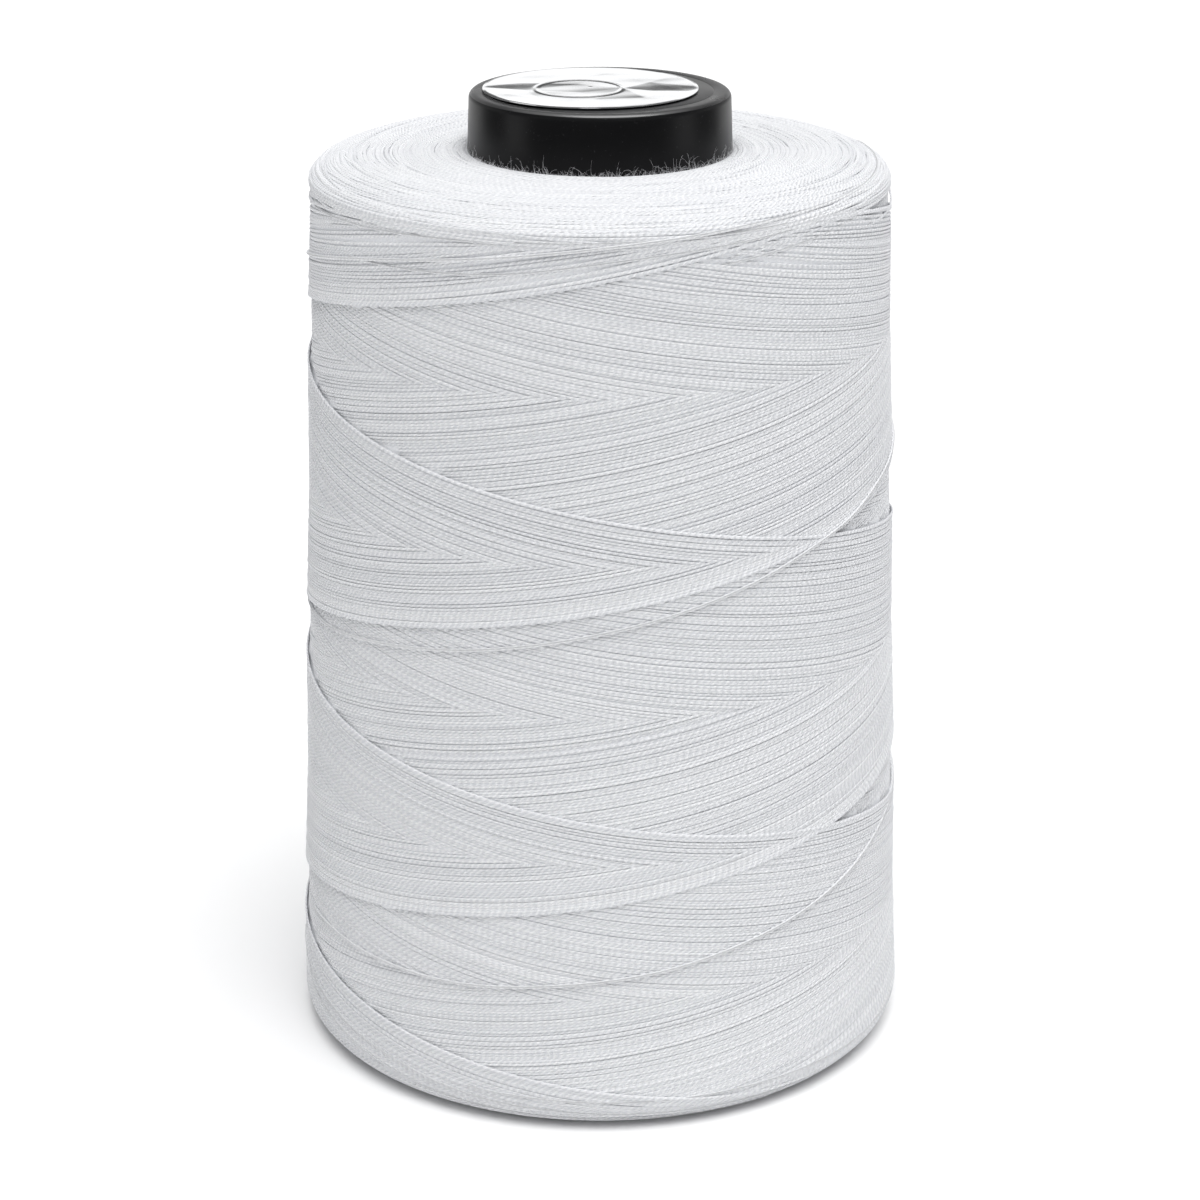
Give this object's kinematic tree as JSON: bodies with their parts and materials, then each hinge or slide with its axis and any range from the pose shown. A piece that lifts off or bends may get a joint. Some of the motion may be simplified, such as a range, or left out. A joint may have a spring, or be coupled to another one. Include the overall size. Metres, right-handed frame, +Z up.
{
  "type": "cone of sewing thread",
  "caption": "Large cone of white sewing thread, cross-wound on a tapered black plastic core whose open bore takes a stand's pin, with a silver foil disc on its end.",
  "frame": {"origin": "centre of the flat base, on the surface that the cone stands on", "axes": "+Z up along the axis of the cone, towards the foil disc; -Y is the front; the foil disc is set off centre towards -X"},
  "size_m": [0.1084, 0.1082, 0.168],
  "materials": {
    "thread": "white spun thread, slightly hairy",
    "core": "black moulded plastic, satin gloss",
    "foil": "bright silver foil, slightly crumpled"
  },
  "bodies": {
    "root": {"wound_thread": "thread", "core_tube": "core", "foil_disc": "foil"}
  },
  "joints": []
}
